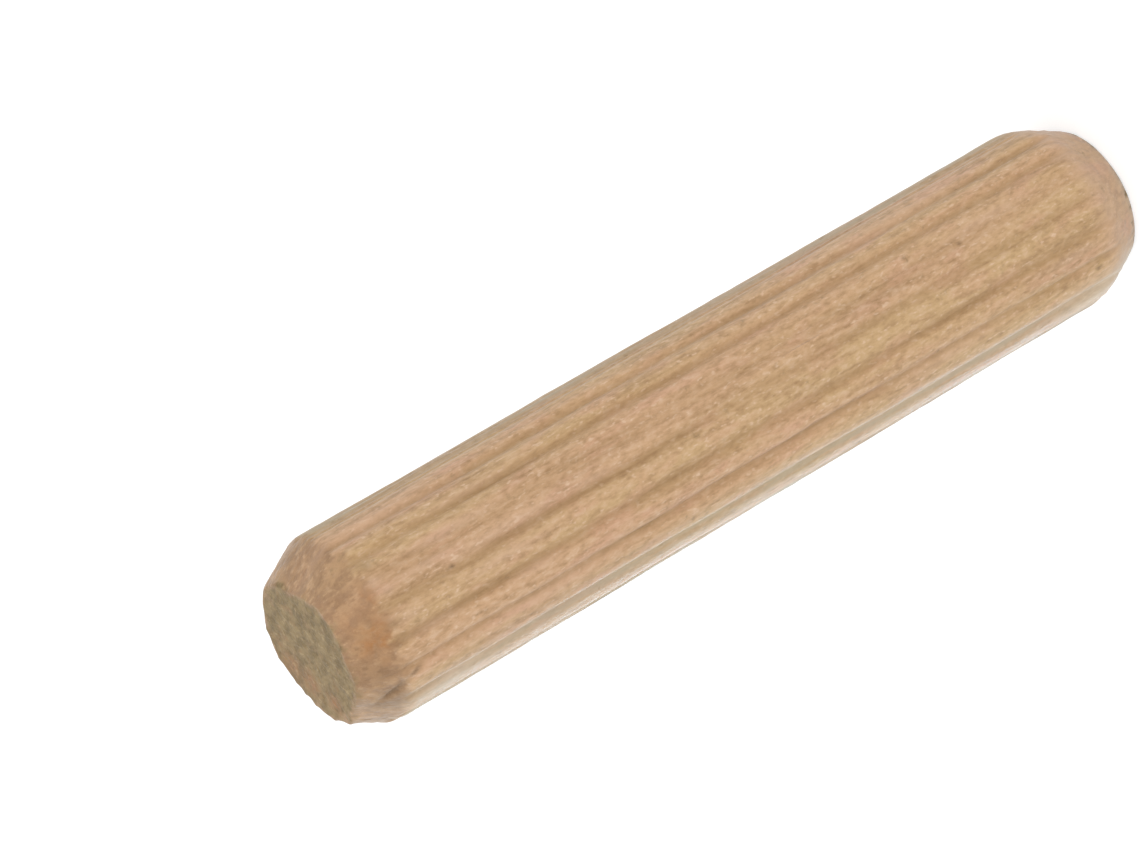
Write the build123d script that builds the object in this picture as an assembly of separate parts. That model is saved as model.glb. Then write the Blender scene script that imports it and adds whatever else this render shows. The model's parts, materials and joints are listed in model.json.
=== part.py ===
from build123d import *
import math
import os

# A fluted wooden dowel pin, standing on one end. Its axis is +Z, and the origin is the centre of
# its lower end face. Lengths are in millimetres and angles in degrees.

# Driving dimensions of the pin's outside
pin_diameter = 8.0  # over the lands between the flutes
pin_length = 40.0
taper_length = 2.0  # of the taper at each end, along the axis
taper_drop = 1.0  # how far each taper draws the side in
shoulder_radius = 2.0  # where a taper leaves the straight side
rim_radius = 0.2  # where a taper meets its end face
press_allowance = 0.01  # how far the turned side stands outside the lands before it is pressed

# Driving dimensions of one flute, and how many there are
flute_count = 20
flute_depth = 0.26  # below the lands
flute_angle = 70.0  # between its two sides
flute_floor_radius = 0.12
flute_lip_radius = 0.1  # where a side meets the land beside it

# Values that follow from them
pin_radius = pin_diameter / 2
end_radius = pin_radius - taper_drop
blank_radius = pin_radius + press_allowance
blank_taper_length = taper_length * (blank_radius - end_radius) / taper_drop
flute_pitch = 360 / flute_count
same_place = 1e-6


def corners_at(sketch, radius, measure):
    """The sketch's corners that lie at a radius, by the given way to measure it."""
    return sketch.vertices().filter_by(
        lambda corner: math.isclose(measure(corner), radius, abs_tol=same_place)
    )


def turned_blank():
    """The pin before fluting: a round bar with a taper turned on each end, all corners rounded.

    Each taper's line passes through the lands at the taper's length, and goes on to the blank's side.
    """
    outline = Polyline(
        (0, 0),
        (end_radius, 0),
        (blank_radius, blank_taper_length),
        (blank_radius, pin_length - blank_taper_length),
        (end_radius, pin_length),
        (0, pin_length),
        close=True,
    )
    half_section = make_face(outline)
    rims = corners_at(half_section, end_radius, lambda corner: corner.X)
    half_section = fillet(rims, rim_radius)
    shoulders = corners_at(half_section, blank_radius, lambda corner: corner.X)
    # Rounding the rims leaves the shoulders as they were, the widest corners of the outline
    half_section = fillet(shoulders, shoulder_radius)
    return revolve(Plane.XZ * half_section, Axis.Z)


def flute_cutter():
    """The V that one flute is pressed with, its sharp foot set so the rounded floor is at depth."""
    half_angle = math.radians(flute_angle / 2)
    foot_below_floor = flute_floor_radius * (1 / math.sin(half_angle) - 1)
    foot = pin_radius - flute_depth - foot_below_floor
    outside = pin_radius + flute_depth
    half_width = (outside - foot) * math.tan(half_angle)
    cutter = make_face(
        Polyline((foot, 0), (outside, half_width), (outside, -half_width), close=True)
    )
    return fillet(corners_at(cutter, foot, lambda corner: corner.X), flute_floor_radius)


def fluted_section():
    """The pin's cross-section: flutes all round with rounded lips, and a land centred on +X."""
    flutes = PolarLocations(0, flute_count) * flute_cutter()
    section = Circle(pin_radius) - flutes
    lips = corners_at(section, pin_radius, lambda corner: math.hypot(corner.X, corner.Y))
    return Rot(0, 0, flute_pitch / 2) * fillet(lips, flute_lip_radius)


def dowel_pin():
    """The pressed section sizes the blank: its flutes run on until a taper draws in past them."""
    return turned_blank() & extrude(fluted_section(), pin_length)


os.makedirs("parts", exist_ok=True)
pin = dowel_pin()
pin.label = "dowel_pin"
export_step(pin, "parts/dowel_pin.step")
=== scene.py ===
import json
import math

import bpy
import numpy as np
from mathutils import Matrix, Vector


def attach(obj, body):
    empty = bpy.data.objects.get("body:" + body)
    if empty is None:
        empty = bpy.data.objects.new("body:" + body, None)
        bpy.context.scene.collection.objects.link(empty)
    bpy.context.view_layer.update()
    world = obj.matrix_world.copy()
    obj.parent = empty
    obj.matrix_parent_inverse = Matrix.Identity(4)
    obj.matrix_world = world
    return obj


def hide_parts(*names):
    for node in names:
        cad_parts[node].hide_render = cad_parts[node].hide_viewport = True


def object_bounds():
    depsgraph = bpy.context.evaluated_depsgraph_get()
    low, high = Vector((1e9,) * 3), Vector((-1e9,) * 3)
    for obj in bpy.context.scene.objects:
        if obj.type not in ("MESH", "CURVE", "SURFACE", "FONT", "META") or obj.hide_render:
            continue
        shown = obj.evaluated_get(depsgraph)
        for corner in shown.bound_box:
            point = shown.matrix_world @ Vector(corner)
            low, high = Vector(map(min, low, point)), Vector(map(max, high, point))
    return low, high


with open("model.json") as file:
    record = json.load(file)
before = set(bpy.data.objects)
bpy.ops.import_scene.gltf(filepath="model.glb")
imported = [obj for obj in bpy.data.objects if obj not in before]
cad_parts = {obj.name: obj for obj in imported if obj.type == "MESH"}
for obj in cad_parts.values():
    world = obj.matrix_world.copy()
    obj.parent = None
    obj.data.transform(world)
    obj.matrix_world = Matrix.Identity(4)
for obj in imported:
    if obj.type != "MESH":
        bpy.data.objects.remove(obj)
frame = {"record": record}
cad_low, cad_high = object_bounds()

# A fluted beech dowel pin, standing on one end, as it comes from the press: straight flutes, a
# turned taper at each end, fine fibres along it and rough end grain. Shapes are worked out in
# millimetres and written to the mesh in metres.
MM = 0.001
SEED = 8

# Sizes that come from the frame
shank = next(mount for mount in frame["record"]["mounts"] if mount["name"] == "shank")
PIN_RADIUS = shank["dims"]["r_mm"]
PIN_LENGTH = (cad_high.z - cad_low.z) / MM

# Each end's taper: its length, how much narrower than the side it ends, and the radii that round
# its shoulder and its rim. The lower taper is a little longer and rounder than the upper one.
UPPER_END = {"taper": 1.95, "drop": 1.0, "shoulder": 1.4, "rim": 0.14}
LOWER_END = {"taper": 2.1, "drop": 1.0, "shoulder": 3.0, "rim": 0.22}

# The flutes. Number 0 is the first one past +X, and they are counted anticlockwise from above.
FLUTE_COUNT = 20
FLUTE_DEPTH = 0.2
FLUTE_SPREAD = 0.25  # how far from its middle a flute has lost about two thirds of its depth
FLUTE_HALF_WIDTH = 0.42  # past this the surface is a land
LARGEST_SHARE = 0.45  # the most of the gap to the next flute that half a flute's columns take
SPLIT_NARROWING = 0.3  # a double flute's spread is less by this share of its split
# Random values for the flutes that have none of their own
MOST_DRIFT = 1.5
LEAST_STRENGTH, MOST_STRENGTH = 0.85, 1.1

# The press bites unevenly along the pin, and deeper towards its top
BITE_CELLS = 9
BITE_UNEVENNESS = 0.16
BITE_AT_FOOT = 0.9
BITE_RISE = 0.3

# Pressed flutes wander a little across the grain
WANDER_CELLS = 14
WANDER = 0.035

# Flutes with values of their own:
# drift is how far the press set it off its even place, in degrees
# strength is its share of the full depth
# skew, where it is positive, makes its clockwise side the gentler one
# split makes it double, as where the press slipped: half the distance between its two feet
# stain is its share of the usual darkness, which is partly painted shade in the flute's hollow
FLUTES = {
    19: {"drift": -4.5, "strength": 0.8},
    18: {"drift": 1.0, "strength": 0.55, "split": 0.15, "stain": 0.3},
    17: {"drift": -1.5, "strength": 0.95, "skew": 0.35},
    16: {"drift": 0.2, "strength": 0.95, "skew": 0.35},
    15: {"drift": 0.6, "strength": 0.5, "split": 0.17},
    14: {"drift": 3.2, "strength": 0.85, "skew": 0.2},
    13: {"drift": -0.4, "strength": 0.9, "skew": -0.35},
    12: {"drift": 0.6, "strength": 0.9},
    11: {"drift": -3.6, "strength": 0.9, "stain": 0.15},
    10: {"drift": -7.0, "strength": 0.6, "stain": 0.2},
}

# Unevenness of the skin, in layers: cells of noise round the pin and along it, and their height
SWELLINGS = [(7, 5, 0.02)]
FIBRES = [(150, 26, 0.012), (240, 60, 0.008)]
FACETS = [(9, 1, 0.06), (23, 2, 0.03)]
TORN_FIBRES = [(60, 160, 0.022), (120, 240, 0.014)]
SAW_MARKS = [(26, 14, 0.03), (40, 50, 0.02)]  # these two run across the end faces
SIDE_MARGIN = 0.025  # how far the lands lie in, so that their fibres stay inside the CAD's side
SHOULDER_SOFTNESS = 0.05
RIM_FADE = 0.25  # how far from the rim the roughness of a face or a taper has come in full

# Small chips along the upper rim
CHIP_CELLS = 30
CHIP_DEPTH = 0.17
CHIP_REACH = 0.4

# The mesh: rows along each end and the side, and columns round each flute and its land
FACE_RINGS, RIM_ROWS, TAPER_ROWS, SHOULDER_ROWS, SIDE_ROWS = 14, 5, 15, 9, 184
FLUTE_COLUMNS, LAND_COLUMNS = 12, 6
MASK_BLEND = 0.9  # how wide a mask's edge is, which the material makes ragged
SHOULDER_BLEND = 0.5  # how far before the side a taper's finish ends

# Marks on the skin: where each is, by angle and height, and how far it spreads round and along.
# A lean turns it across the pin, in degrees for each millimetre up.
GOUGES = [
    {"deep": 0.16, "spot": {"at": 210.7, "up": 38.72, "round": 2.6, "along": 0.5, "lean": 16}},
    {"deep": 0.08, "spot": {"at": 221.5, "up": 37.9, "round": 1.3, "along": 0.3, "lean": 6}},
    {"deep": 0.05, "spot": {"at": 265, "up": 34.9, "round": 1.1, "along": 0.14}},
    {"deep": 0.06, "spot": {"at": 278.3, "up": 8.6, "round": 1.1, "along": 0.12}},
    {"deep": 0.06, "spot": {"at": 220.3, "up": 2.9, "round": 1.2, "along": 0.14}},
]
# Where the cutter took more off the upper taper, which flattens the rim there
FLATS = [
    {"deep": 0.6, "spot": {"at": 322, "up": 40, "round": 22, "along": 1.0}},
    {"deep": 0.36, "spot": {"at": 106, "up": 40, "round": 26, "along": 1.0}},
    {"deep": 0.28, "spot": {"at": 246, "up": 40, "round": 13, "along": 0.8}},
]
# Wood torn outwards on the upper rim
BURR = {"at": 172, "up": 40, "round": 8, "along": 0.5}
BURR_OUT = 0.15
# Where the cutter burnished the upper taper
BURNISHED = [
    {"at": 264, "up": 38.65, "round": 14, "along": 0.8},
    {"at": 247, "up": 38.8, "round": 12, "along": 0.75},
]
# Stripes painted greyer along the two edges seen from the camera at a grazing angle: a painted
# reflection of the white surroundings, as a sheen would give
PAINTED_SHEEN_STRIPES = [
    {"at": 177, "up": 20, "round": 5, "along": 60},
    {"at": 202, "up": 20, "round": 5.5, "along": 60},
    {"at": 340.5, "up": 20, "round": 5, "along": 60},
    {"at": 350, "up": 20, "round": 5, "along": 60},
]
# Pale patches. The first two, on the side that the bluish rim lamps light near an edge seen from
# the camera, are a painted reflection of the white surroundings; the last paints the foot's rim
# paler
SHEEN_AND_PALE_PATCHES = [
    {"at": 199, "up": 1.6, "round": 13, "along": 2.6},
    {"at": 197, "up": 36.2, "round": 7, "along": 2},
    {"at": 250, "up": 0, "round": 45, "along": 0.35},
]
# Paler patches, partly painted highlights on the crests of the lands and partly paler wood
PALE_AND_HIGHLIT_PATCHES = [
    {"at": 317, "up": 36, "round": 3.5, "along": 3},
    {"at": 317, "up": 9, "round": 3.5, "along": 4},
    {"at": 284, "up": 34, "round": 3, "along": 2},
    {"at": 284, "up": 7, "round": 3, "along": 2},
    {"at": 269, "up": 32, "round": 3.5, "along": 3},
    {"at": 210, "up": 18, "round": 2.5, "along": 3},
    {"at": 221.5, "up": 32, "round": 3.5, "along": 4},
    {"at": 221.5, "up": 11, "round": 3.5, "along": 3},
    {"at": 299.8, "up": 32.5, "round": 2, "along": 2.5},
    {"at": 267.2, "up": 28, "round": 2.2, "along": 1.2},
    {"at": 273.4, "up": 35.7, "round": 2.5, "along": 1.2},
    {"at": 255.6, "up": 32.8, "round": 3, "along": 1.6},
    {"at": 242, "up": 36.5, "round": 2.5, "along": 1},
    {"at": 237, "up": 4, "round": 3, "along": 1.5},
    {"at": 210, "up": 12, "round": 2.5, "along": 2},
    {"at": 240.5, "up": 31.7, "round": 2.2, "along": 1.2},
    {"at": 254.4, "up": 37.4, "round": 3.2, "along": 0.5},
    {"at": 279.4, "up": 37.9, "round": 3, "along": 0.35},
    {"at": 271.6, "up": 37.7, "round": 2.6, "along": 0.3},
]
# Darker brown spots on the upper taper and at the upper ends of two lands, partly grime and
# partly painted shade
GRIME_AND_SHADE_SPOTS = [
    {"at": 226, "up": 39.3, "round": 16, "along": 0.9},
    {"at": 200, "up": 39.0, "round": 14, "along": 0.8},
    {"at": 254.4, "up": 38.15, "round": 3.5, "along": 0.3},
    {"at": 289, "up": 37.85, "round": 3.5, "along": 0.3},
]
# Browner places: the first, along the whole pin on the side away from the rim lamps, is painted
# shade; the other two are small browner spots
BROWNED_AND_SHADED = [
    {"at": 337.5, "up": 20, "round": 12, "along": 60},
    {"at": 214.4, "up": 30, "round": 2.5, "along": 9},
    {"at": 329.4, "up": 38.1, "round": 4, "along": 0.5},
]
# Dark patches round the deepest gouge and beside it
DARK_PATCHES = [
    {"at": 209.8, "up": 38.7, "round": 4.2, "along": 0.4},
    {"at": 199, "up": 39.25, "round": 3.5, "along": 0.2},
]
# Paler patches share the lower taper's mask of painted light; browned and shaded stripes share
# that of grime and shade, and dark patches that of gouges, each with this share of its strength
PALE_AND_HIGHLIT_SHARE, BROWNED_AND_SHADED_SHARE, DARK_PATCH_SHARE = 0.8, 0.42, 0.55
# Brown stains on the end faces, by angle, distance from the axis and size
FACE_STAINS = [
    {"at": 88, "out": 2.1, "size": 0.7},
    {"at": 122, "out": 1.8, "size": 0.6},
    {"at": 163, "out": 2.3, "size": 0.5},
]

# The camera, from the outline of the pin in the photograph. Angles are in degrees, and places in
# metres from the pin's foot.
CAMERA_AZIMUTH = -5.6
CAMERA_OUT = 0.17728
CAMERA_HEIGHT = 0.11521
AIM_BESIDE_AXIS = 0.002375
AIM_HEIGHT = 0.02576
CAMERA_ROLL = -120.0
FOCAL_PIXELS = 5116.8  # on an image as wide as the next value
IMAGE_WIDTH = 1140
SENSOR_WIDTH = 36.0
NEAREST_SEEN, FARTHEST_SEEN = 0.01, 20

# The lamps: the azimuth and elevation that each shines from in degrees, its distance and size in
# metres, its watts and its colour. The three bluish ones stand behind the pin on the camera's
# left, and light the edge that is its lower one in the picture.
LAMPS = {
    "front": (-8, 25, 3.0, 2.4, 17.5, (1.0, 0.96, 0.89)),
    "rim": (-127, 9, 3.0, 1.8, 19.0, (0.58, 0.84, 1.0)),
    "card": (-150, -22, 0.04, 0.03, 0.009, (0.6, 0.85, 1.0)),
    "foot": (-140, -54, 0.021, 0.008, 0.0005, (0.4, 0.75, 1.0)),
}
WORLD_LIGHT = 0.95
FLOOR_SIZE = 6.0
FLOOR_GREY = 0.5
FLOOR_GLOW = 0.66  # with the light that the floor returns, what the camera sees is white
WHITE = (1, 1, 1, 1)


def add_object(name, data):
    """A new object that shows some data in the scene."""
    made = bpy.data.objects.new(name, data)
    bpy.context.collection.objects.link(made)
    return made


def place_camera():
    """Looks down on the pin from beside it, rolled so that its top is at the lower left."""
    data = bpy.data.cameras.new("camera")
    data.sensor_width = SENSOR_WIDTH
    data.lens = FOCAL_PIXELS / IMAGE_WIDTH * SENSOR_WIDTH
    data.clip_start, data.clip_end = NEAREST_SEEN, FARTHEST_SEEN
    turn = Matrix.Rotation(math.radians(CAMERA_AZIMUTH), 3, "Z")
    eye = turn @ Vector((0, -CAMERA_OUT, CAMERA_HEIGHT))
    aim = turn @ Vector((AIM_BESIDE_AXIS, 0, AIM_HEIGHT))
    back = (eye - aim).normalized()
    right = Vector((0, 0, 1)).cross(back).normalized()
    level = Matrix((right, back.cross(right), back)).transposed()
    rolled = level @ Matrix.Rotation(math.radians(CAMERA_ROLL), 3, "Z")
    camera = add_object("camera", data)
    camera.matrix_world = Matrix.Translation(eye) @ rolled.to_4x4()
    bpy.context.scene.camera = camera


def smooth_noise(rng, around, along, u, v, wraps=True):
    """Soft random hills from -1 to 1 over u and v, which run from 0 to 1, in that many cells."""
    hills = rng.uniform(-1, 1, (around + 2, along + 2))
    if wraps:
        hills[around] = hills[0]
        hills[around + 1] = hills[1]
    x = np.clip(u, 0, 1) * around
    y = np.clip(v, 0, 1) * along
    i, j = np.floor(x).astype(int), np.floor(y).astype(int)
    s, t = x - i, y - j
    s, t = s * s * (3 - 2 * s), t * t * (3 - 2 * t)
    low = hills[i, j] * (1 - s) + hills[i + 1, j] * s
    high = hills[i, j + 1] * (1 - s) + hills[i + 1, j + 1] * s
    return low * (1 - t) + high * t


def layered_noise(rng, layers, u, v, wraps=True):
    """Layers of smooth noise, each with its cells both ways and its height, added up."""
    return sum(
        height * smooth_noise(rng, around, along, u, v, wraps)
        for around, along, height in layers
    )


def soft_least(a, b, softness):
    """The smaller of two values, with the change from one to the other rounded."""
    return (a + b - np.sqrt((a - b) ** 2 + softness**2)) / 2


def rounded_corner(before, corner, after, radius, steps):
    """The points of an arc that rounds a corner, from the first leg to the second."""
    one, two = (before - corner), (after - corner)
    one, two = one / np.linalg.norm(one), two / np.linalg.norm(two)
    half = math.acos(one @ two) / 2
    bisector = (one + two) / np.linalg.norm(one + two)
    middle = corner + bisector * radius / math.sin(half)
    start = corner + one * radius / math.tan(half) - middle
    end = corner + two * radius / math.tan(half) - middle
    share = np.linspace(0, 1, steps)[:, None]
    chord = start * (1 - share) + end * share
    return middle + chord / np.linalg.norm(chord, axis=1)[:, None] * radius


def end_outline(end):
    """One end's rows, outwards along its face and up its taper, and the masks there."""
    radius, height = PIN_RADIUS - end["drop"], end["taper"]
    points = [np.array(p, float) for p in ((0, 0), (radius, 0), (PIN_RADIUS, height))]
    side = np.array((PIN_RADIUS, PIN_LENGTH / 2))
    rim = rounded_corner(*points, end["rim"], RIM_ROWS)
    shoulder = rounded_corner(points[1], points[2], side, end["shoulder"], SHOULDER_ROWS)
    face = np.linspace((0, 0), rim[0], FACE_RINGS + 1)[1:-1]
    taper = np.linspace(rim[-1], shoulder[0], TAPER_ROWS + 2)[1:-1]
    rows = np.vstack([face, rim, taper, shoulder])
    steps = np.linalg.norm(np.diff(rows, axis=0, prepend=rows[:1]), axis=1)
    from_middle = np.cumsum(steps)
    inside = from_middle[len(face) + RIM_ROWS // 2] - from_middle
    on_face = np.clip(0.5 + inside / MASK_BLEND, 0, 1)
    below_side = from_middle[-1] - SHOULDER_BLEND - from_middle
    on_taper = np.clip(0.5 + below_side / MASK_BLEND, 0, 1)
    return rows, on_face, on_taper, inside


def pin_rows():
    """Each row's radius and height from the lower face's middle to the upper one's.

    With them go how far inside a rim each row is, below zero outside it, and the masks there.
    """
    lower, lower_face, lower_taper, lower_inside = end_outline(LOWER_END)
    upper, upper_face, upper_taper, upper_inside = end_outline(UPPER_END)
    upper = np.column_stack([upper[:, 0], PIN_LENGTH - upper[:, 1]])[::-1]
    heights = np.linspace(lower[-1, 1], upper[0, 1], SIDE_ROWS + 2)[1:-1]
    side = np.column_stack([np.full(SIDE_ROWS, PIN_RADIUS), heights])
    rows = np.vstack([lower, side, upper])
    nothing = np.zeros(SIDE_ROWS)
    masks = {
        "face": np.concatenate([lower_face, nothing, upper_face[::-1]]),
        "taper": np.concatenate([np.zeros_like(lower_taper), nothing, upper_taper[::-1]]),
        # The lower taper is painted paler: painted light where it faces down to the grey floor
        # and gets less light
        "pale_and_lit": np.concatenate([lower_taper, nothing, np.zeros_like(upper_taper)]),
    }
    inside = np.concatenate([lower_inside, nothing - PIN_LENGTH, upper_inside[::-1]])
    return rows[:, 0], rows[:, 1], inside, masks


def flute_values(name, usual):
    """One value for each flute: the usual one, apart from flutes with a value of their own."""
    values = np.full(FLUTE_COUNT, usual, float)
    for number, own in FLUTES.items():
        values[number] = own.get(name, values[number])
    return values


def flute_middles(rng):
    """Each flute's middle, and the gap from it to the next one's, in degrees."""
    drift = flute_values("drift", rng.uniform(-MOST_DRIFT, MOST_DRIFT, FLUTE_COUNT))
    middles = (np.arange(FLUTE_COUNT) + 0.5) * 360 / FLUTE_COUNT + drift
    return middles, np.diff(np.append(middles, middles[0] + 360))


def pin_columns(middles, gap_after):
    """Each column's flute, its distance from that flute's middle in degrees, and its angle."""
    usual = np.degrees(FLUTE_HALF_WIDTH / PIN_RADIUS)
    half_width = np.minimum(usual, LARGEST_SHARE * gap_after)
    flute, offset = [], []
    for number in range(FLUTE_COUNT):
        before, after = half_width[number - 1], half_width[number]
        flute += [number] * (FLUTE_COLUMNS + LAND_COLUMNS)
        offset += [
            *np.linspace(-before, after, FLUTE_COLUMNS, endpoint=False),
            *np.linspace(after, gap_after[number] - after, LAND_COLUMNS, endpoint=False),
        ]
    flute, offset = np.array(flute), np.array(offset)
    return flute, offset, np.radians(middles[flute] + offset)


def flute_relief(rng, flute, offset, gap_after, height):
    """How deep the flutes lie below the lands at each point, and how stained each flute is."""
    # Both the column's own flute and the next one may reach a point, and the deeper one wins
    near = np.stack([flute, (flute + 1) % FLUTE_COUNT])
    away = np.radians(np.stack([offset, offset - gap_after[flute]])) * PIN_RADIUS
    skew, split = flute_values("skew", 0)[near], flute_values("split", 0)[near]
    spread = FLUTE_SPREAD * (1 - skew * np.sign(away)) - SPLIT_NARROWING * split
    random_strength = rng.uniform(LEAST_STRENGTH, MOST_STRENGTH, FLUTE_COUNT)
    strength = flute_values("strength", random_strength)[near]
    uneven = smooth_noise(rng, FLUTE_COUNT, BITE_CELLS, near / FLUTE_COUNT, height / PIN_LENGTH)
    bite = BITE_AT_FOOT + BITE_RISE * height / PIN_LENGTH
    pressed = strength * (1 + BITE_UNEVENNESS * uneven) * bite
    from_foot = np.abs(away) - split
    relief = -FLUTE_DEPTH * pressed * np.exp(-((from_foot / spread) ** 2))
    deeper = np.where(relief[1] < relief[0], near[1], near[0])
    return relief.min(axis=0), flute_values("stain", 1)[deeper]


def spot(angle, height, at, up, round, along, lean=0):
    """A soft spot on the skin, one in its middle and none past about twice its spread."""
    turned = (np.degrees(angle) - at + lean * (height - up) + 180) % 360 - 180
    return np.exp(-((turned / round) ** 2) - ((height - up) / along) ** 2)


def strongest(marks, angle, height):
    """The strongest of some spots at each point."""
    return np.max([spot(angle, height, **mark) for mark in marks], axis=0)


def dug(marks, angle, height):
    """How deep some marks cut into each point."""
    return sum(mark["deep"] * spot(angle, height, **mark["spot"]) for mark in marks)


def face_spot(x, y, at, out, size):
    """A soft spot on both end faces, at an angle and a distance from the axis."""
    middle_x, middle_y = out * math.cos(math.radians(at)), out * math.sin(math.radians(at))
    return np.exp(-((x - middle_x) ** 2 + (y - middle_y) ** 2) / size**2)


def side_radius(rng, relief, u, v):
    """How far out the side lies, with its flutes, slow swellings and raised fibres."""
    swell = layered_noise(rng, SWELLINGS, u, v)
    fibres = layered_noise(rng, FIBRES, u, v)
    return PIN_RADIUS + relief + swell + fibres - SIDE_MARGIN


def taper_radius(rng, radius, inside, angle, height, u, v):
    """How far out the tapers and faces lie: cut less evenly, torn and gouged, with a burr."""
    facets = layered_noise(rng, FACETS, u, v) - dug(FLATS, angle, height)
    torn = layered_noise(rng, TORN_FIBRES, u, v) * np.clip(-inside / RIM_FADE, 0, 1)
    burr = BURR_OUT * spot(angle, height, **BURR) * np.clip(1 - inside / RIM_FADE, 0, 1)
    cut = radius * (1 + facets / PIN_RADIUS) + torn
    return cut - dug(GOUGES, angle, height) + burr


def face_depth(rng, x, y, inside):
    """How far in the end faces lie, sawn across the grain: streaked along one way and pitted."""
    across = (x + PIN_RADIUS) / (2 * PIN_RADIUS)
    beside = (y + PIN_RADIUS) / (2 * PIN_RADIUS)
    rough = layered_noise(rng, SAW_MARKS, across, beside, wraps=False)
    return np.abs(rough) * np.clip(inside / RIM_FADE, 0, 1)


def chip_depth(rng, inside, angle, height, u, v):
    """How deep chips go into the upper rim, which has none in its burr."""
    chips = np.abs(smooth_noise(rng, CHIP_CELLS, 1, u, v)) * np.exp(-((inside / CHIP_REACH) ** 2))
    chips *= np.where(v > 0.5, 1 - spot(angle, height, **BURR), 0)
    return CHIP_DEPTH * chips


def mark_masks(angle, height):
    """Where each kind of mark on the skin shows, and how strongly."""
    gouged = strongest([mark["spot"] for mark in GOUGES], angle, height)
    darkened = strongest(DARK_PATCHES, angle, height) * DARK_PATCH_SHARE
    # Browned and shaded stripes, partly painted shade on the side away from the rim lamps
    browned_and_shaded = strongest(BROWNED_AND_SHADED, angle, height) * BROWNED_AND_SHADED_SHARE
    return {
        "burnish": strongest(BURNISHED, angle, height),
        "scar": np.maximum(gouged, darkened),
        "painted_sheen": strongest(PAINTED_SHEEN_STRIPES, angle, height),
        # pale patches: painted reflection on one edge, and a paler rim at the foot
        "sheen_and_pale": strongest(SHEEN_AND_PALE_PATCHES, angle, height),
        "grime_and_shade": np.maximum(strongest(GRIME_AND_SHADE_SPOTS, angle, height), browned_and_shaded),
    }


def pin_surface():
    """Every point of the pin's skin in rows and columns, with what its material reads there."""
    rng = np.random.default_rng(SEED)
    *rows, row_masks = pin_rows()
    middles, gap_after = flute_middles(rng)
    columns = pin_columns(middles, gap_after)
    shape = (len(rows[0]), len(columns[0]))
    radius, height, inside = (np.broadcast_to(values[:, None], shape) for values in rows)
    flute, offset, angle = (np.broadcast_to(values, shape) for values in columns)
    masks = {name: np.broadcast_to(m[:, None], shape) for name, m in row_masks.items()}
    u, v = angle / (2 * np.pi) % 1, height / PIN_LENGTH

    relief, stain = flute_relief(rng, flute, offset, gap_after, height)
    wander = WANDER * smooth_noise(rng, FLUTE_COUNT, WANDER_CELLS, flute / FLUTE_COUNT, v)
    angle = angle + wander / PIN_RADIUS * np.clip(-inside, 0, 1)
    side = side_radius(rng, relief, u, v)
    cut = taper_radius(rng, radius, inside, angle, height, u, v)
    skin = np.where(inside < 0, soft_least(cut, side, SHOULDER_SOFTNESS), cut)

    x, y = skin * np.cos(angle), skin * np.sin(angle)
    inward = face_depth(rng, x, y, inside)
    z = np.where(v > 0.5, height - inward, height + inward)
    kept = 1 - chip_depth(rng, inside, angle, height, u, v) / PIN_RADIUS
    x, y = x * kept, y * kept

    # A flute is painted darker as deep as it is pressed, partly as painted shade in its hollow,
    # and only where the taper's cut has left it
    pressed = np.clip(-relief / FLUTE_DEPTH, 0, 1) * (1 - masks["face"]) * stain
    cut_away = np.clip(side - skin, 0, None)
    masks["groove_stain_and_shade"] = pressed * np.clip(1 - cut_away / FLUTE_DEPTH, 0, 1)
    # Paler patches, partly painted highlights on the crests of the lands
    pale = strongest(PALE_AND_HIGHLIT_PATCHES, angle, height) * PALE_AND_HIGHLIT_SHARE
    masks["pale_and_lit"] = np.maximum(masks["pale_and_lit"], pale)
    masks["stain"] = np.max([face_spot(x, y, **mark) for mark in FACE_STAINS], axis=0)
    return np.stack([x, y, z], -1), masks | mark_masks(angle, height)


def close_skin(points):
    """Vertices and faces of the closed skin: the grid's quads, and a fan over each end."""
    rows, columns, _ = points.shape
    ends = [points[i].mean(axis=0) for i in (0, -1)]
    vertices = np.vstack([points.reshape(-1, 3), *ends])
    index = np.arange(rows * columns).reshape(rows, columns)
    beside = np.roll(index, -1, axis=1)
    quads = np.stack([index[:-1], beside[:-1], beside[1:], index[1:]], -1).reshape(-1, 4)
    low, high = rows * columns, rows * columns + 1
    faces = quads.tolist()
    faces += [(low, int(b), int(a)) for a, b in zip(index[0], beside[0])]
    faces += [(high, int(a), int(b)) for a, b in zip(index[-1], beside[-1])]
    return vertices, faces


def add_mask(mesh, name, values):
    """Keeps one value for each vertex, for the material to read. The fans' tips get the means."""
    tips = [values[0].mean(), values[-1].mean()]
    mask = mesh.attributes.new(name, "FLOAT", "POINT")
    mask.data.foreach_set("value", np.concatenate([values.ravel(), tips]).astype(np.float32))


def make_pin():
    """The pin, dressed: one closed skin in place of the CAD's solid."""
    points, masks = pin_surface()
    vertices, faces = close_skin(points)
    mesh = bpy.data.meshes.new("pin")
    mesh.from_pydata(vertices * MM, [], faces)
    for name, values in masks.items():
        add_mask(mesh, name, values)
    mesh.shade_smooth()
    mesh.materials.append(beech())
    pin = add_object("pin", mesh)
    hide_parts("dowel_pin")
    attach(pin, "root")


# Where a mix node has its sockets for colours
COLOUR_A, COLOUR_B, MIXED_COLOUR = 6, 7, 2


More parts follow.
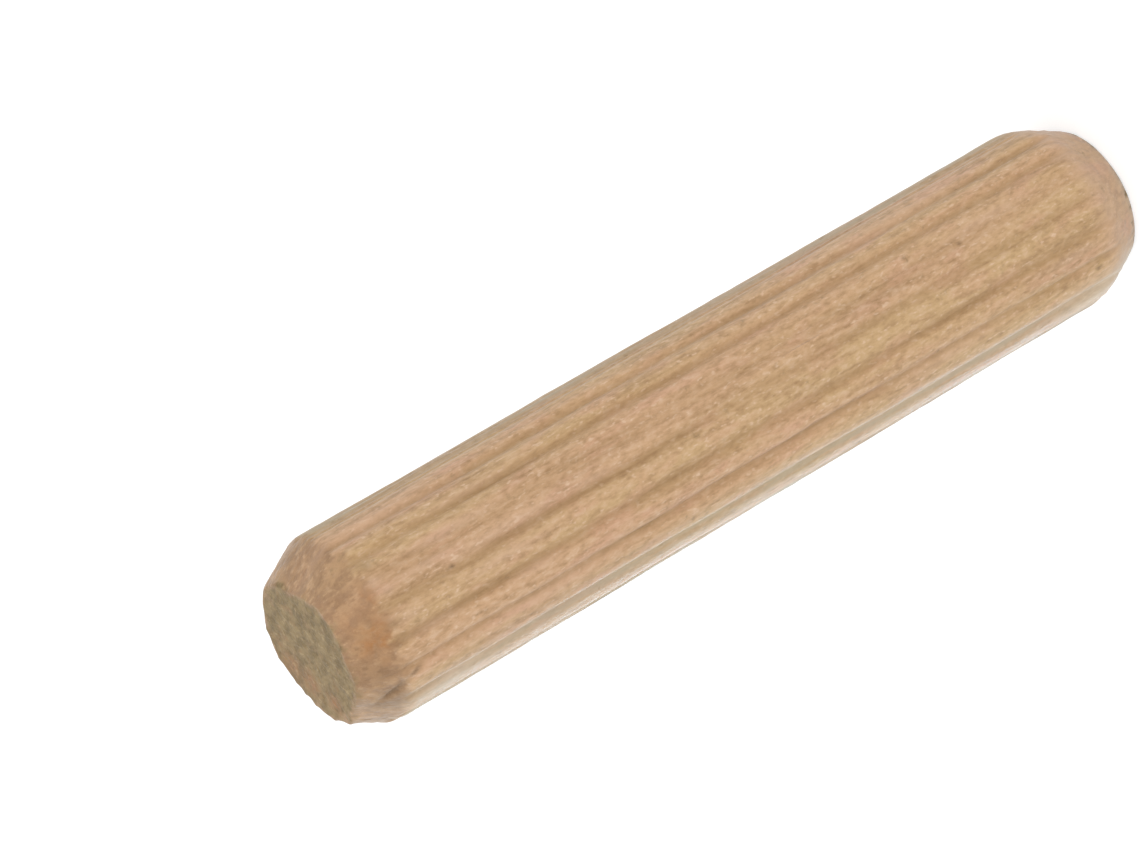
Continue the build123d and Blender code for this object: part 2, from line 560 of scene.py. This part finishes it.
class Shading:
    """Short calls that add nodes to one tree and join them."""

    def __init__(self, tree):
        self.tree = tree

    def put(self, socket, value):
        """Joins another node's output to a socket, or sets the socket to a plain value."""
        if isinstance(value, bpy.types.NodeSocket):
            self.tree.links.new(value, socket)
        else:
            socket.default_value = value

    def node(self, kind, settings=None, **inputs):
        """A new node. An input with a space in its name is written with an underscore."""
        made = self.tree.nodes.new("ShaderNode" + kind)
        for name, value in (settings or {}).items():
            setattr(made, name, value)
        for name, value in inputs.items():
            self.put(made.inputs[name.replace("_", " ")], value)
        return made

    def arithmetic(self, operation, a, b, clamp=False):
        made = self.node("Math", {"operation": operation, "use_clamp": clamp})
        self.put(made.inputs[0], a)
        self.put(made.inputs[1], b)
        return made.outputs[0]

    def plus(self, a, b, clamp=False):
        return self.arithmetic("ADD", a, b, clamp)

    def minus(self, a, b, clamp=False):
        return self.arithmetic("SUBTRACT", a, b, clamp)

    def times(self, a, b, clamp=False):
        return self.arithmetic("MULTIPLY", a, b, clamp)

    def mix(self, share, a, b):
        """Two colours mixed, with that share of the second."""
        made = self.node("Mix", {"data_type": "RGBA"}, Factor=share)
        self.put(made.inputs[COLOUR_A], a)
        self.put(made.inputs[COLOUR_B], b)
        return made.outputs[MIXED_COLOUR]

    def span(self, value, low, high, to_low=0.0, to_high=1.0):
        """Maps low..high to to_low..to_high, smoothly, and holds it at the limits."""
        ends = {"From_Min": low, "From_Max": high, "To_Min": to_low, "To_Max": to_high}
        made = self.node("MapRange", {"interpolation_type": "SMOOTHSTEP"}, Value=value, **ends)
        return made.outputs[0]

    def noise(self, place, scale, detail=2.0, roughness=0.5, shrink=(1, 1, 1), turn=(0, 0, 0)):
        """Soft noise, drawn out in streaks along an axis that is shrunk, and then turned."""
        turned = [math.radians(degrees) for degrees in turn]
        place = self.node("Mapping", Vector=place, Scale=shrink, Rotation=turned).outputs[0]
        settings = {"Scale": scale, "Detail": detail, "Roughness": roughness}
        return self.node("TexNoise", Vector=place, **settings).outputs["Fac"]

    def mask(self, name):
        return self.node("Attribute", {"attribute_name": name}).outputs["Fac"]

    def ragged(self, mask, noise, width):
        """A mask that noise round a half moves up and down, so that its edge isn't even."""
        return self.plus(mask, self.times(self.minus(noise, 0.5), width))


def new_material(name):
    """A new material with an empty tree, and the calls that fill it."""
    material = bpy.data.materials.new(name)
    material.use_nodes = True
    material.node_tree.nodes.clear()
    return material, Shading(material.node_tree)


def rgb(red, green, blue):
    """A colour written as it is seen, 0 to 255, as the shader's linear one."""
    return [((c / 255 + 0.055) / 1.055) ** 2.4 for c in (red, green, blue)] + [1.0]


# The colours of the wood
YELLOW_BAND, PINK_BAND = rgb(211, 175, 128), rgb(217, 172, 137)
# The pale fleck colour also paints glints of highlight
DARK_FLECK, PALE_FLECK_AND_GLINT = rgb(172, 134, 93), rgb(236, 203, 171)
FLUTE_FOOT_SHADE = rgb(166, 130, 86)
PAINTED_SHEEN_GREY = rgb(190, 179, 156)
WORN_DARK, WORN_LIGHT = rgb(153, 117, 84), rgb(183, 144, 105)
TORN_DARK, TORN_LIGHT = rgb(138, 103, 70), rgb(207, 169, 130)
BURNISH = rgb(166, 109, 52)
# Pale wood with painted light and highlights, and a pale grey of painted reflection
PALE_AND_LIT_WOOD, SHEEN_AND_PALE_WOOD = rgb(229, 192, 165), rgb(227, 214, 192)
# Brown for grime and painted shade, and a dark brown for scars
GRIME_AND_SHADE_BROWN, SCAR = rgb(124, 92, 54), rgb(118, 90, 58)
END_DARK, END_LIGHT = rgb(124, 105, 72), rgb(152, 130, 92)
END_STAIN, END_PORE, END_FIBRE = rgb(160, 118, 82), rgb(108, 88, 56), rgb(176, 152, 114)

# How strongly the marks colour the wood
PALE_AND_LIT_STRENGTH, SHEEN_AND_PALE_STRENGTH, GRIME_AND_SHADE_STRENGTH, SCAR_STRENGTH = 0.4, 0.5, 0.4, 0.85
STAIN_STRENGTH = 0.9
GROOVE_SHADE_POWER = 1.5  # above one, a flute's darkness, which is partly painted shade, keeps to its foot
# How ragged the edges of the taper and of the end face are
TAPER_RAGGEDNESS, TAPER_TEAR, FACE_RAGGEDNESS = 1.6, 1.0, 1.9

# How high each pattern stands in the bump, as shares of its full height
SPECKLE_HEIGHT, STREAK_HEIGHT, PORE_HEIGHT, TEAR_HEIGHT = 0.6, 0.5, -1.2, -1.0
BUMP_STRENGTH = 0.6
BUMP_HEIGHT = 0.08
SIDE_ROUGHNESS = (0.5, 0.62)
END_ROUGHENING = 0.25
SHEEN_ON_SIDE, SHEEN_ON_END, SHEEN_ROUGHNESS = 0.28, 0.1, 0.4

# Patterns in the wood, as noise over places in millimetres: its scale, its detail and how rough
# that is, how far it is shrunk along each axis, so that it runs as streaks, and how it is turned,
# in degrees
PATTERNS = {
    "bands": {"scale": 0.6, "shrink": (1, 1, 0.06)},
    "patches": {"scale": 1.1, "shrink": (1, 1, 0.35)},
    "speckle": {"scale": 5.0, "detail": 3, "roughness": 0.6, "shrink": (1, 1, 0.4)},
    "streaks": {"scale": 2.6, "detail": 3, "roughness": 0.6, "shrink": (1, 1, 0.07)},
    "glints": {"scale": 7.0, "detail": 1, "shrink": (1, 1, 0.5)},
    "scuffs": {
        "scale": 1.7, "detail": 4, "roughness": 0.65, "shrink": (1, 1, 0.7), "turn": (25, 0, 0),
    },
    "torn": {
        "scale": 3.6, "detail": 3, "roughness": 0.6, "shrink": (1, 1, 0.3), "turn": (20, 25, 0),
    },
    "blotches": {"scale": 1.3},
    "rays": {
        "scale": 2.1, "detail": 5, "roughness": 0.62, "shrink": (1, 0.55, 1), "turn": (0, 0, 12),
    },
    "clouds": {"scale": 1.3, "detail": 3, "roughness": 0.6},
    "pores": {
        "scale": 3.6, "detail": 3, "roughness": 0.65,
        "shrink": (0.8, 0.8, 1), "turn": (0, 0, -30),
    },
}


def side_wood(s, noise):
    """The side: pink and yellow bands, flecks and painted glints, flutes partly painted shade,
    painted sheen.
    """
    bands = s.span(noise["bands"], 0.4, 0.65, 0, 0.6)
    patches = s.span(noise["patches"], 0.48, 0.7, 0, 0.6)
    colour = s.mix(s.plus(bands, patches, clamp=True), YELLOW_BAND, PINK_BAND)
    speckle, streaks = noise["speckle"], noise["streaks"]
    dark_streaks = s.span(streaks, 0.54, 0.28, 0, 0.5)
    dark = s.plus(s.span(speckle, 0.56, 0.24, 0, 0.7), dark_streaks, clamp=True)
    # Pale flecks, among them glints painted in as highlights
    glints = s.span(noise["glints"], 0.58, 0.78, 0, 0.6)
    pale = s.plus(s.span(speckle, 0.48, 0.76, 0, 0.5), glints, clamp=True)
    colour = s.mix(dark, colour, DARK_FLECK)
    colour = s.mix(pale, colour, PALE_FLECK_AND_GLINT)
    # Flute feet painted darker: partly painted shade in the hollows, partly darker pressed wood
    foot = s.arithmetic("POWER", s.mask("groove_stain_and_shade"), GROOVE_SHADE_POWER)
    colour = s.mix(s.times(foot, s.span(streaks, 0.3, 0.7, 0.72, 0.42)), colour, FLUTE_FOOT_SHADE)
    # The grey stripes are painted reflection, broken up by the streaks
    painted_sheen = s.times(s.mask("painted_sheen"), s.span(streaks, 0.35, 0.65, 0.25, 0.75))
    return s.mix(painted_sheen, colour, PAINTED_SHEEN_GREY)


def worn_wood(s, noise):
    """The upper taper: darker, scuffed and torn, and brown where the cutter burnished it."""
    torn = noise["torn"]
    colour = s.mix(s.span(noise["scuffs"], 0.36, 0.64), WORN_DARK, WORN_LIGHT)
    colour = s.mix(s.span(torn, 0.52, 0.7, 0, 0.7), colour, TORN_DARK)
    colour = s.mix(s.span(torn, 0.48, 0.3, 0, 0.6), colour, TORN_LIGHT)
    rubbed = s.times(s.mask("burnish"), s.span(torn, 0.35, 0.6, 1, 0.55))
    rubbed = s.times(rubbed, s.span(noise["blotches"], 0.42, 0.58, 0.45, 1.25), clamp=True)
    return s.mix(rubbed, colour, BURNISH)


def marked(s, colour):
    """The side and tapers with paler and browner places, partly painted light, reflection and
    shade, and scarred places.
    """
    for name, strength, mark in (
        ("pale_and_lit", PALE_AND_LIT_STRENGTH, PALE_AND_LIT_WOOD),
        ("sheen_and_pale", SHEEN_AND_PALE_STRENGTH, SHEEN_AND_PALE_WOOD),
        ("grime_and_shade", GRIME_AND_SHADE_STRENGTH, GRIME_AND_SHADE_BROWN),
        ("scar", SCAR_STRENGTH, SCAR),
    ):
        colour = s.mix(s.times(s.mask(name), strength), colour, mark)
    return colour


def end_grain(s, noise):
    """The end faces: duller and greener, streaked across, with brown stains and fine pores."""
    pores = noise["pores"]
    colour = s.mix(s.span(noise["rays"], 0.36, 0.64), END_DARK, END_LIGHT)
    clouds = s.span(noise["clouds"], 0.52, 0.7, 0, 0.4)
    brown = s.plus(s.times(s.mask("stain"), STAIN_STRENGTH), clouds)
    colour = s.mix(s.times(brown, s.span(pores, 0.3, 0.6, 1.2, 0.5)), colour, END_STAIN)
    colour = s.mix(s.span(pores, 0.54, 0.7, 0, 0.5), colour, END_PORE)
    return s.mix(s.span(pores, 0.44, 0.3, 0, 0.7), colour, END_FIBRE)


def wood_bump(s, noise, taper, on_end):
    """Fine relief: speckle and streaks all over, pores in the ends and tears on the taper."""
    speckle = s.times(noise["speckle"], SPECKLE_HEIGHT)
    streaks = s.times(noise["streaks"], STREAK_HEIGHT)
    pores = s.times(s.times(noise["pores"], on_end), PORE_HEIGHT)
    off_end = s.minus(taper, on_end, clamp=True)
    tears = s.times(s.times(noise["torn"], off_end), TEAR_HEIGHT)
    height = s.plus(s.plus(s.plus(speckle, streaks), pores), tears)
    bump = s.node("Bump", Height=height, Strength=BUMP_STRENGTH, Distance=BUMP_HEIGHT * MM)
    return bump.outputs[0]


def beech():
    """Pale beech: tan with pink and yellow bands, fine speckle, and dull, darker end grain."""
    material, s = new_material("beech")
    metres = s.node("TexCoord").outputs["Object"]
    place = s.node("VectorMath", {"operation": "SCALE"}, Vector=metres, Scale=1 / MM).outputs[0]
    noise = {name: s.noise(place, **pattern) for name, pattern in PATTERNS.items()}
    taper = s.mask("taper")

    ragged = s.ragged(taper, noise["scuffs"], TAPER_RAGGEDNESS)
    ragged = s.ragged(ragged, noise["torn"], TAPER_TEAR)
    on_taper = s.span(ragged, 0.15, 0.85, 0, 0.85)
    on_end = s.span(s.ragged(s.mask("face"), noise["scuffs"], FACE_RAGGEDNESS), 0.2, 0.8)
    colour = s.mix(on_taper, side_wood(s, noise), worn_wood(s, noise))
    colour = s.mix(on_end, marked(s, colour), end_grain(s, noise))

    roughness = s.span(noise["speckle"], 0.3, 0.7, *SIDE_ROUGHNESS)
    roughness = s.plus(roughness, s.times(on_end, END_ROUGHENING))
    shader = s.node(
        "BsdfPrincipled",
        Base_Color=colour,
        Roughness=roughness,
        Normal=wood_bump(s, noise, taper, on_end),
        Sheen_Weight=s.span(on_end, 0, 1, SHEEN_ON_SIDE, SHEEN_ON_END),
        Sheen_Roughness=SHEEN_ROUGHNESS,
    )
    s.node("OutputMaterial", Surface=shader.outputs[0])
    return material


def seen_directly(s):
    """One where a ray comes straight from the camera or off something glossy or clear."""
    path = s.node("LightPath").outputs
    total = s.plus(path["Is Camera Ray"], path["Is Glossy Ray"], clamp=True)
    return s.plus(total, path["Is Transmission Ray"], clamp=True)


def make_floor():
    """A matt floor that keeps the pin's shadow and looks white where nothing shades it."""
    half = FLOOR_SIZE / 2
    corners = [(-half, -half, 0), (half, -half, 0), (half, half, 0), (-half, half, 0)]
    mesh = bpy.data.meshes.new("floor")
    mesh.from_pydata(corners, [], [(0, 1, 2, 3)])
    material, s = new_material("floor")
    matt = s.node("BsdfDiffuse", Color=(FLOOR_GREY, FLOOR_GREY, FLOOR_GREY, 1))
    glow = s.node("Emission", Color=WHITE, Strength=s.times(seen_directly(s), FLOOR_GLOW))
    both = s.node("AddShader")
    s.put(both.inputs[0], matt.outputs[0])
    s.put(both.inputs[1], glow.outputs[0])
    s.node("OutputMaterial", Surface=both.outputs[0])
    mesh.materials.append(material)
    floor = add_object("floor", mesh)


def make_world():
    """Even white light from all round, which itself looks white."""
    world = bpy.data.worlds.new("world")
    world.use_nodes = True
    background = world.node_tree.nodes["Background"]
    s = Shading(world.node_tree)
    s.put(background.inputs["Color"], WHITE)
    s.put(background.inputs["Strength"], s.span(seen_directly(s), 0, 1, WORLD_LIGHT, 1.0))
    bpy.context.scene.world = world


def make_lamps():
    """Soft square lamps round the pin, each aimed at its middle."""
    middle = Vector((0, 0, PIN_LENGTH / 2 * MM))
    for name, (azimuth, elevation, distance, size, watts, colour) in LAMPS.items():
        data = bpy.data.lights.new(name, "AREA")
        data.size, data.energy, data.color = size, watts, colour
        a, e = math.radians(azimuth), math.radians(elevation)
        back = Vector((math.sin(a) * math.cos(e), -math.cos(a) * math.cos(e), math.sin(e)))
        lamp = add_object(name, data)
        lamp.location = middle + back * distance
        lamp.rotation_mode = "QUATERNION"
        lamp.rotation_quaternion = back.to_track_quat("Z", "Y")


bpy.context.scene.view_settings.view_transform = "Standard"
place_camera()
make_pin()
make_floor()
make_world()
make_lamps()
